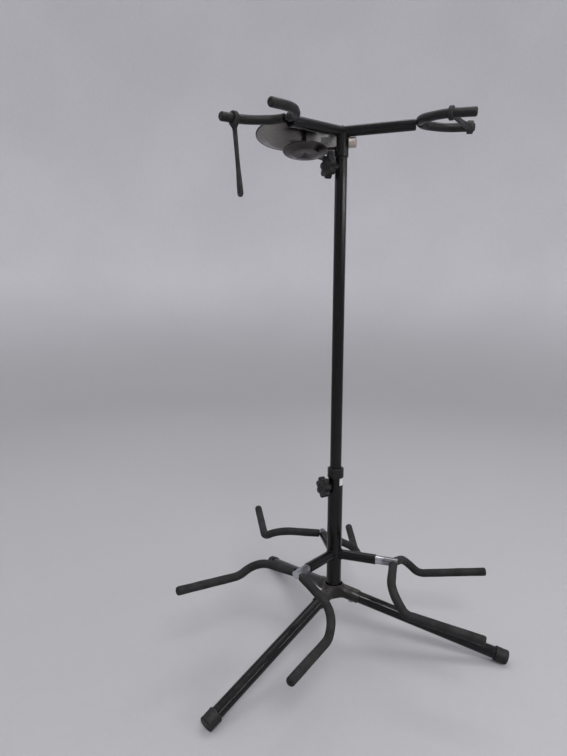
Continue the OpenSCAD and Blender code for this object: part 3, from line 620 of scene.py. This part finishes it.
def label():
    m = Shader("label", (0.62, 0.62, 0.61), 0.35)
    m.rough(m.noise(90, 4), 0.25, 0.5)
    m.patches((120, 5), 0.5, (0.5, 0.495, 0.48))
    m.bump(m.noise(300, 3, 0.2, 0.8), 0.00006)
    return m


FINISHES = (black_paint, dusty_paint, chrome_tube, zinc, polished_steel, dark_steel,
            brass_screw, foot_rubber, sleeve_rubber, foam, strap_rubber, black_plastic, label)


# Camera, stage and lights

# The photograph's height and focal length in pixels
PHOTO_H = 756
FOCAL_LENGTH = 580
# Place in metres, azimuth and roll in degrees, and pitch below level in radians
CAMERA_PLACE = (0.7049, -0.8253, 0.7203)
CAMERA_AZIMUTH = 135.87
CAMERA_ROLL = -0.15
CAMERA_PITCH = 0.165


def make_camera():
    data = bpy.data.cameras.new("camera")
    data.sensor_width = 36
    data.lens = data.sensor_width * FOCAL_LENGTH / PHOTO_H
    data.clip_start, data.clip_end = 0.05, 200
    camera = bpy.data.objects.new("camera", data)
    bpy.context.scene.collection.objects.link(camera)
    azimuth, roll = math.radians(CAMERA_AZIMUTH), math.radians(CAMERA_ROLL)
    level = math.cos(CAMERA_PITCH)
    ahead = Vector((math.cos(azimuth) * level, math.sin(azimuth) * level,
                    -math.sin(CAMERA_PITCH)))
    right = Vector((math.sin(azimuth), -math.cos(azimuth), 0))
    down = ahead.cross(right)
    right, down = (right * math.cos(roll) + down * math.sin(roll),
                   down * math.cos(roll) - right * math.sin(roll))
    camera.matrix_world = (Matrix.Translation(CAMERA_PLACE)
                           @ Matrix((right, -down, -ahead)).transposed().to_4x4())
    bpy.context.scene.camera = camera


# Radius of the flat floor, radius of the bend at its edge, and height of the wall, in metres
FLOOR_R = 2.35
COVE_R = 1.9
WALL_TOP = 4.2
FLOOR_COLOUR = (0.46, 0.457, 0.468)
WALL_COLOUR = (0.73, 0.725, 0.75)
# Height from which the stage has the wall's colour in full
WALL_COLOUR_FROM = 0.8


def make_floor():
    """Flat floor that runs up into a round wall, open at the top"""
    flat = [(FLOOR_R * t ** 1.6, 0.0) for t in np.linspace(0, 1, 22)]
    cove = [(FLOOR_R + COVE_R * math.sin(a), COVE_R - COVE_R * math.cos(a))
            for a in np.linspace(0, math.pi / 2, 26)[1:]]
    wall = [(FLOOR_R + COVE_R, z) for z in np.linspace(COVE_R + 0.1, WALL_TOP, 10)]
    turns = 128
    rings = turned_profile(flat + cove + wall, turns)[1:]
    vertices = np.concatenate([rings.reshape(-1, 3), [[0, 0, 0]]])
    count = len(rings)
    faces = [face[::-1] for face in ring_faces(count, turns, closed=False)]
    faces += [(count * turns, j, (j + 1) % turns) for j in range(turns)]
    floor = mesh_piece("floor", vertices, faces)
    m = Shader("floor", FLOOR_COLOUR, 0.8)
    m.colour(m.along((0, 0, 1), 0.0, WALL_COLOUR_FROM), WALL_COLOUR)
    m.patches((1.4, 4, 0.3, 0.7), 0.12, (0.4, 0.39, 0.41))
    m.patches((60, 5, 0.35, 0.7), 0.06, (0.36, 0.355, 0.37))
    m.bump(m.noise(700, 3, 0.2, 0.8), 0.0002)
    floor.data.materials.append(m.material)
    floor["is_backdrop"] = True


# Lights: place, what they point at, size, all in metres, and watts
LIGHTS = {"key": ((1.9, -1.3, 2.7), (0, 0, 0.5), (1.1, 1.1), 50),
          "fill": ((-2.2, -1.4, 1.9), (0, 0, 0.5), (1.6, 1.6), 5),
          "top": ((-0.3, 0.8, 3.2), (0, 0, 0.4), (2.0, 1.2), 20),
          "strip": ((2.2, 0.75, 1.2), (0, 0.75, 0.1), (2.2, 0.1), 12)}
# Colours of the surroundings at the horizon and from half way up, and their strength
LOW_SKY = (0.42, 0.42, 0.455, 1)
HIGH_SKY = (0.5, 0.5, 0.53, 1)
SKY_STRENGTH = 1.15


def make_light(name, place, target, size, watts):
    data = bpy.data.lights.new(name, "AREA")
    data.shape = "RECTANGLE"
    data.size, data.size_y = size
    data.energy = watts
    light = bpy.data.objects.new(name, data)
    bpy.context.scene.collection.objects.link(light)
    light.location = place
    light.visible_camera = False
    light.rotation_euler = (Vector(target) - Vector(place)).to_track_quat("-Z", "Y").to_euler()


def make_world():
    world = bpy.data.worlds.new("world")
    bpy.context.scene.world = world
    world.use_nodes = True
    nodes, links = world.node_tree.nodes, world.node_tree.links
    background = nodes["Background"]
    place = nodes.new("ShaderNodeTexCoord")
    split = nodes.new("ShaderNodeSeparateXYZ")
    ramp = nodes.new("ShaderNodeMapRange")
    ramp.interpolation_type = "SMOOTHSTEP"
    ramp.inputs["From Min"].default_value = 0.0
    ramp.inputs["From Max"].default_value = 0.5
    mix = nodes.new("ShaderNodeMix")
    mix.data_type = "RGBA"
    mix.inputs["A"].default_value = LOW_SKY
    mix.inputs["B"].default_value = HIGH_SKY
    links.new(place.outputs["Generated"], split.inputs["Vector"])
    links.new(split.outputs["Z"], ramp.inputs["Value"])
    links.new(ramp.outputs["Result"], mix.inputs["Factor"])
    links.new(mix.outputs["Result"], background.inputs["Color"])
    background.inputs["Strength"].default_value = SKY_STRENGTH


make_camera()
make_floor()
make_world()
for name, light in LIGHTS.items():
    make_light(name, *light)
bpy.context.scene.view_settings.view_transform = "Standard"

materials = {finish.__name__: finish().material for finish in FINISHES}
slots = {s["node"]: s["material_slot"] for s in frame["record"]["subparts"]}
for name, node in frame["nodes"].items():
    node.data.materials.clear()
    node.data.materials.append(materials[slots[name]])


def finished(piece, body, slot, *nodes, look=None):
    """Gives a piece its finish, its body and the nodes that it stands for"""
    piece.data.materials.append(materials[look or slot])
    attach(piece, body)
    if nodes:
        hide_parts(*nodes)
    return piece


# Sleeves

# Corners of a yoke's rod on one side: how far out, and how far to the side
YOKE_ROOT_SIDE = 22
KNEE_OUT, KNEE_SIDE = 39.5, 54.5
TIP_OUT, TIP_SIDE = 86.5, 57.1
YOKE_BENDS = (36, 60)
# Corners of a fork's rod: out, to the side and up
FORK_HIP = (9, 93, -20)
FORK_KNEE = (39, 110.5, -51.5)
FORK_TIP = (167.5, 121, -40.5)
FORK_BENDS = (60, 24)
# Each sleeve: where it starts on its rod, outer and inner radius, rounding of its start
YOKE_SLEEVE = (4.6, 7.5, 4.05, 1.4)
FORK_SLEEVE = (8.8, 8, 4.55, 1.3)
YOKE_WRINKLE = 1.0
FORK_WRINKLE = 1.3
# How far a sleeve runs past the end of its rod, and points round it
PAST_ROD = 4
SLEEVE_SIDES = 44
# Radius of the hole in a sleeve's end, and of the end's rounding, as shares of its radius
MOUTH = 0.12
NOSE = 0.5


def sleeve_loop(end, start, outer, bore, lip):
    """Closed loop of distance and radius round a sleeve's wall, drawn in at its far end"""
    turn = np.linspace(0, math.pi / 2, 9)
    mouth, nose = MOUTH * outer, NOSE * outer
    head = [(start + lip - lip * math.cos(t), outer - lip + lip * math.sin(t)) for t in turn]
    tail = [(end - nose + nose * math.sin(t), outer - nose + nose * math.cos(t)) for t in turn]
    body = [(s, outer) for s in np.arange(start + lip + 1, end - nose - 0.5, 1.2)]
    inside = [(end - 0.3, mouth + 0.3), (end - 0.9, mouth), (end - 2.2, mouth + 0.2),
              (end - 2.8, bore)]
    back = [(s, bore) for s in np.linspace(end - 3.4, start + 0.6, int((end - start) / 5))]
    return [(start, bore + 0.5)] + head + body + tail + inside + back


def arc_length(points):
    return np.linalg.norm(np.diff(points, axis=0), axis=1).sum()


def bent_rod(corners, side, bends):
    """Line of a rod from its middle, with one side's corners, run on to the sleeve's end"""
    corners = [np.array(c, float) * (1, side, 1) for c in ((0, 0, 0), *corners)]
    corners[-1] = corners[-1] + unit(corners[-1] - corners[-2]) * PAST_ROD
    return rounded(corners, bends)


def yoke_line(side):
    corners = ((0, YOKE_ROOT_SIDE, 0), (KNEE_OUT, KNEE_SIDE, 0), (TIP_OUT, TIP_SIDE, 0))
    return bent_rod(corners, side, YOKE_BENDS)


def fork_line(side, tip):
    wider, higher = tip
    out, aside, up = FORK_TIP
    return bent_rod((FORK_HIP, FORK_KNEE, (out, aside + wider, higher + up)), side, FORK_BENDS)


for name in ARMS:
    for word, side in SIDES:
        line = yoke_line(side)
        loop = sleeve_loop(arc_length(line), *YOKE_SLEEVE)
        piece = swept(f"{name}_yoke_{word}_cover", line, loop, on_prongs(name),
                      SLEEVE_SIDES, YOKE_WRINKLE)
        finished(piece, f"{name}_neck_yoke", "sleeve_rubber", f"{name}_yoke_{word}_sleeve")
for name in STUBS:
    for (word, side), tip in zip(SIDES, TIPS[name]):
        line = fork_line(side, tip)
        loop = sleeve_loop(arc_length(line), *FORK_SLEEVE)
        piece = swept(f"{name}_fork_{word}_cover", line, loop, on_fork(name),
                      SLEEVE_SIDES, FORK_WRINKLE)
        finished(piece, f"{name}_body_fork", "foam", f"{name}_fork_{word}_sleeve")


# Straps

STRAP_T = 4
STRAP_NECK_W = 9
STRAP_TONGUE_W = 12
STRAP_LEN = 122
RING_R = 11.25
STRAP_BORE_R = 7.6
BEND_PLAY = 0.15
RING_W = 8
LOOP_W = 11
RING_EDGE = 1.6
STRAP_LEAN = 5
STRAP_HOLE_R = 1.6
# Low and high corner of the space that each strap's skin is looked for in, and its step
HANGING_GRID = ((-6, -13, -125), (6, 13, 13), 0.75)
CLOSED_GRID = ((41, -71, -13), (91, 72, 13), 0.9)
# How far out on the prongs the hanging strap's ring and a closed strap's two rings sit
HANGING_OUT = 64
RING_OUT = 51
LOOP_OUT = 82
# The first ring of a closed strap sits where the rod still has this much to turn, in degrees
RING_TURN = 7.8
prong_splay = math.degrees(math.atan2(TIP_SIDE - KNEE_SIDE, TIP_OUT - KNEE_OUT))


def prong_half(out):
    """Distance from a prong to the yoke's middle"""
    return KNEE_SIDE + (out - KNEE_OUT) * math.tan(math.radians(prong_splay))


def hanging_field(p):
    """Open strap: a ring, a long neck that swells to a tongue, and a hole in the tongue"""
    x, y, z = p.T
    ring = edged(np.hypot(y, z) - RING_R, slab(x, -RING_W / 2, RING_W / 2), RING_EDGE)
    tip = STRAP_TONGUE_W / 2
    low = tip - STRAP_LEN
    half = np.interp(-z, (0, 14, 40, 66, 84, 104, 116), (5, 4.5, 4.1, 3.9, 4.5, 5.7, tip))
    thick = np.interp(-z, (0, 60, 105), (0, 0, 0.35)) + STRAP_T / 2
    end = np.hypot(y, np.clip(low - z, 0, None)) - tip
    outline = np.where(z < low, end, np.maximum(np.abs(y) - half, z + 8))
    strap = joined(ring, edged(outline, np.abs(x) - thick, 1.1), 8)
    strap = cut_by(strap, np.hypot(y, z) - STRAP_BORE_R, 0.6)
    return cut_by(strap, np.hypot(y, z - low - 1) - STRAP_HOLE_R, 1.2)


at_ring = (on_prongs("front") @ moved(HANGING_OUT, -prong_half(HANGING_OUT), 0)
           @ turned("Z", -prong_splay) @ turned("X", STRAP_LEAN))
finished(moulded("front_neck_strap", hanging_field, *HANGING_GRID, at_ring),
         "hanging_strap", "strap_rubber", "front_strap")

short_of_corner = YOKE_BENDS[1] * (1 - math.cos(math.radians(RING_TURN)))
strap_a = np.array((RING_OUT, short_of_corner - prong_half(RING_OUT), 0))
strap_b = np.array((LOOP_OUT, prong_half(LOOP_OUT), 0))
# Each ring: middle, turn, width and rounding
strap_rings = ((strap_a, -math.radians(prong_splay + RING_TURN), RING_W, RING_EDGE),
               (strap_b, math.radians(prong_splay), LOOP_W, 2.2))


def closed_field(p):
    """Strap closed across a yoke: two rings and a sagging band that widens to one of them"""
    run = strap_b - strap_a
    span = np.linalg.norm(run)
    along = run / span
    across = np.array((-along[1], along[0], 0))
    t = (p - strap_a) @ along
    sag = 2.2 * np.clip(1 - (2 * t / span - 1) ** 2, 0, 1)
    q = np.stack([t, (p - strap_a) @ across, p[:, 2] + sag], -1)
    wide = STRAP_NECK_W / 2 + 1.4 * np.clip((t / span - 0.55) / 0.3, 0, 1)
    band = edged(edged(np.abs(q[:, 2]) - wide, np.abs(q[:, 1]) - STRAP_T / 2, 0.9),
                 slab(t, 4, span - 4), 0.5)
    bores = []
    for centre, skew, width, edge in strap_rings:
        d = p - centre
        x = d[:, 0] * math.cos(skew) + d[:, 1] * math.sin(skew)
        y = d[:, 1] * math.cos(skew) - d[:, 0] * math.sin(skew)
        out = np.hypot(y, d[:, 2])
        bores.append(out - STRAP_BORE_R - BEND_PLAY)
        band = joined(band, edged(out - RING_R, slab(x, -width / 2, width / 2), edge), 6)
    for bore in bores:
        band = cut_by(band, bore, 0.6)
    return band


for name in ("right", "left"):
    piece = moulded(f"{name}_neck_strap", closed_field, *CLOSED_GRID, on_prongs(name))
    finished(piece, f"{name}_neck_yoke", "strap_rubber", f"{name}_strap")


# Knobs

KNOB_R = 20.5
KNOB_LOBES = 7
KNOB_TOP = 14
KNOB_UNDER = 2
KNOB_NECK_R = 9
KNOB_BORE_R = 4.05
DISH_R = 8.5
DISH_Z = 12.8
BUTTON_R = 4.6
LOBE_R = 1.2 * math.pi * 2 * KNOB_R / KNOB_LOBES / 4
KNOB_CORE_R = KNOB_R - LOBE_R
KNOB_GRID = ((-22, -22, -1.5), (22, 22, 15.5), 0.6)


def knob_field(p):
    """Lobed head with a shallow dish and a button in its face, a neck and a bore"""
    x, y, z = p.T
    flat = np.hypot(x, y) - KNOB_CORE_R + 1.5
    for i in range(KNOB_LOBES):
        a = 2 * math.pi * i / KNOB_LOBES
        lobe = np.hypot(x - KNOB_CORE_R * math.cos(a), y - KNOB_CORE_R * math.sin(a)) - LOBE_R
        flat = joined(flat, lobe, 4.5)
    around = np.hypot(x, y)
    dome = KNOB_TOP - 0.0022 * around ** 2
    head = edged(flat, np.maximum(z - dome, KNOB_UNDER - z), 1.7)
    knob = joined(head, round_bar(p, KNOB_NECK_R, 0, 6, 0.5), 1.5)
    dish = edged(around - DISH_R, DISH_Z - z, 0.4)
    knob = cut_by(knob, dish, 0.8)
    knob = joined(knob, round_bar(p, BUTTON_R, 9, KNOB_TOP - 0.4, 0.5), 0.6)
    return cut_by(knob, round_bar(p, KNOB_BORE_R, -3, 8, 0.2), 0.3)


for name, height, body in (("lower", LOWER_KNOB_Z, "lower_clamp"),
                           ("upper", UPPER_KNOB_Z, "upper_clamp")):
    piece = moulded(f"{name}_clamp_knob", knob_field, *KNOB_GRID, on_knob(height))
    finished(piece, body, "black_plastic", f"{name}_knob")


# Trays

at_trays = facing(TRAY_DIR, TRAY_Z) @ turned("X", TRAY_TILT) @ turned("Y", TRAY_PITCH)

# Each tray: width, depth, place of its rim's middle, and finish
TRAYS = {"large": (134, 11, (88.5, 3.5, 22.5), "polished_steel"),
         "small": (80, 8, (62, 16.5, -14.5), "dark_steel")}
SHEET_T = 1.2
# How far in the wall's upper skin stands from its lower one
WALL_IN = 0.35
RIM_R = 1.5
# Radius of a thin dark skin laid over the rolled rim, a painted dark reflection along the dish's
# edge
RIM_SHADE_SKIN_R = 1.56


def tray_profile(d, depth):
    """Wall of a pressed dish with a rolled rim, as a closed loop of radius and height"""
    flat = d / 2 - 2 * depth
    # The wall rises from here, at its foot, to its top under the rim
    foot_r, foot_z = flat + 1.6, 1.4
    top_r, top_z = d / 2 - 2.4, depth - 2.9
    under = [(0.01, 0.5), (flat * 0.25, 0.42), (flat * 0.3, 0.1), (flat * 0.62, 0.02),
             (flat * 0.8, 0), (flat * 0.93, 0.12), (flat, 0.6), (foot_r, foot_z)]
    under += [(foot_r + (top_r - foot_r) * t, foot_z + (top_z - foot_z) * t ** 0.92)
              for t in np.linspace(0.15, 1, 7)]
    centre = (d / 2 - RIM_R, depth - RIM_R)
    roll = [(centre[0] + RIM_R * math.cos(a), centre[1] + RIM_R * math.sin(a))
            for a in np.radians(np.linspace(-75, 200, 14))]
    over = [(x - WALL_IN, z + SHEET_T) for x, z in under[::-1][1:-1]]
    over = [(x, z) for x, z in over if x < centre[0] - RIM_R - 0.4]
    return [(x, z - depth) for x, z in under + roll + over + [(0.01, SHEET_T + 0.5)]]


for name, (d, depth, place, slot) in TRAYS.items():
    piece = lathed(f"{name}_pressed_tray", tray_profile(d, depth), at_trays @ moved(*place))
    finished(piece, "head", slot, f"{name}_tray")
    # Painted dark reflection: a thin dark skin over each rolled rim
    rim = [(d / 2 - RIM_R + RIM_SHADE_SKIN_R * math.cos(a), -RIM_R + RIM_SHADE_SKIN_R * math.sin(a))
           for a in np.radians(np.arange(0, 360, 20))]
    piece = lathed(f"{name}_tray_rim_shade_skin", rim, at_trays @ moved(*place))
    finished(piece, "head", "dark_steel")


# Hub and feet

SOCKET_R = 12.9
LEG_HOLE_R = 11.3
SOCKET_LEN = 53
HUB_LOW = 102
HUB_TOP = 124
BARREL_R = 14.4
BOLT_HOLE_R = 9
# Barrel's widening towards its foot, and the height over which it widens
FLARE = 2.6
FLARE_H = 12
# Wall between the mast's tube and a leg's hole, and the leg's radius with its play
LEG_WALL = 2
LEG_SEAT_R = 11.25
HUB_GRID = ((-57, -57, 66), (57, 57, 126), 1.0)
LEG_START = (LOWER_R + LEG_WALL + LEG_SEAT_R * math.sin(leg_tilt)) / math.cos(leg_tilt)


def hub_field(p):
    """Barrel and three sockets, open for the legs and from below for the bolt"""
    around = np.hypot(p[:, 0], p[:, 1])
    sockets = None
    holes = np.maximum(around - BOLT_HOLE_R, p[:, 2] - HUB_LOW)
    for name in LEGS:
        q = local(p, on_leg(name))
        out = np.hypot(q[:, 0], q[:, 1])
        socket = edged(out - SOCKET_R, slab(q[:, 2], 0, SOCKET_LEN), 1.1)
        sockets = socket if sockets is None else joined(sockets, socket, 14)
        holes = np.minimum(holes, np.maximum(out - LEG_HOLE_R, LEG_START - q[:, 2]))
    flare = BARREL_R + FLARE * np.clip((HUB_TOP - p[:, 2]) / FLARE_H, 0, 1) ** 2
    barrel = edged(around - flare, slab(p[:, 2], HUB_LOW, HUB_TOP), 0.25)
    return cut_by(joined(sockets, barrel, 10), holes, 0.5)


finished(moulded("cast_hub", hub_field, *HUB_GRID), "base", "black_paint", "hub",
         look="dusty_paint")


FOOT_LEN = 24
# Step of a foot's grid, and how far the grid reaches past the solid foot
FOOT_STEP = 0.8
FOOT_MARGIN = 1.2
FOOT_FLOOR = 3
# How far the rim at the foot's open end stands out, and where it starts
FOOT_LIP = 0.35
FOOT_LIP_FROM = 19.5
# Grooves: distances from the foot's end, depth and half width
FOOT_GROOVES = (6, 9.5)
GROOVE_DEPTH = 0.45
GROOVE_HALF = 0.7


def foot_field(p, matrix):
    """Cap on a leg's end, with a lip and two grooves, cut flat by the floor"""
    q = local(p, matrix)
    out = np.hypot(q[:, 0], q[:, 1])
    end = leg_run - q[:, 2]
    radius = FOOT_R - FOOT_LIP + FOOT_LIP / (1 + np.exp((FOOT_LIP_FROM - end) * 3))
    for groove in FOOT_GROOVES:
        radius = radius - GROOVE_DEPTH * np.exp(-((end - groove) / GROOVE_HALF) ** 2)
    cap = edged(out - radius, slab(q[:, 2], leg_run - FOOT_LEN, leg_run), 1.8)
    cap = cut_by(cap, np.maximum(out - LEG_HOLE_R, FOOT_FLOOR - end), 0.5)
    return cut_by(cap, p[:, 2], 0.5)


for name in LEGS:
    matrix = on_leg(name)
    low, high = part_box(f"{name}_foot")
    low = np.array((low.x, low.y, -0.002)) * 1000 - FOOT_MARGIN
    high = np.array(high) * 1000 + FOOT_MARGIN
    piece = moulded(f"{name}_rubber_foot", lambda p, m=matrix: foot_field(p, m), low, high,
                    FOOT_STEP)
    finished(piece, "base", "foot_rubber", f"{name}_foot")


# Welds

# How far a bead's middle stands off the surfaces that it joins
WELD_OFF = 0.35
COLLAR_WELD_OFF = 0.3
ARM_WELD_OFF = 0.2
STUB_BEAD_R = 1.3
BOSS_BEAD_R = 1.0
ARM_BEAD_R = 1.2


def saddle(tube_r, stub_r, turns=72):
    """Line where a bar along +X meets an upright tube"""
    a = full_turn(turns)
    y, z = (stub_r + WELD_OFF) * np.sin(a), (stub_r + WELD_OFF) * np.cos(a)
    return np.stack([np.sqrt((tube_r + WELD_OFF) ** 2 - y ** 2), y, z], -1)


def collar_seam():
    """Line under an arm along +X where it meets the collar"""
    a = np.radians(np.linspace(-42, 42, 40))
    radius = COLLAR_R + COLLAR_WELD_OFF
    y = radius * np.sin(a)
    return np.stack([radius * np.cos(a), y, -np.sqrt((ARM_R + ARM_WELD_OFF) ** 2 - y ** 2)], -1)


def arm_seam():
    """Line over the meeting of two arms, in the upright plane of +X half way between them"""
    a = np.radians(np.linspace(4, 112, 44))
    return np.stack([2 / math.sqrt(3) * ARM_R * np.sin(a), 0 * a, ARM_R * np.cos(a)], -1)


for name in STUBS:
    piece = bead(f"{name}_stub_weld", saddle(LOWER_R, STUB_R), STUB_BEAD_R,
                 facing(STUBS[name][0], STUB_Z))
    finished(piece, "base", "black_paint")
for name, height, tube_r, body in (("lower", LOWER_KNOB_Z, LOWER_R, "base"),
                                   ("upper", UPPER_KNOB_Z, UPPER_R, "mast")):
    piece = bead(f"{name}_boss_weld", saddle(tube_r, BOSS_R), BOSS_BEAD_R,
                 facing(KNOB_DIR, height))
    finished(piece, body, "black_paint")
for name in ARMS:
    piece = bead(f"{name}_collar_weld", collar_seam(), ARM_BEAD_R, on_arm(name), closed=False)
    finished(piece, "head", "black_paint")
for name, direction in ARM_SEAMS.items():
    piece = bead(f"{name}_arm_weld", arm_seam(), ARM_BEAD_R, facing(direction, ARM_Z),
                 closed=False)
    finished(piece, "head", "black_paint")


low, high = cad_bounds
low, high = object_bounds()
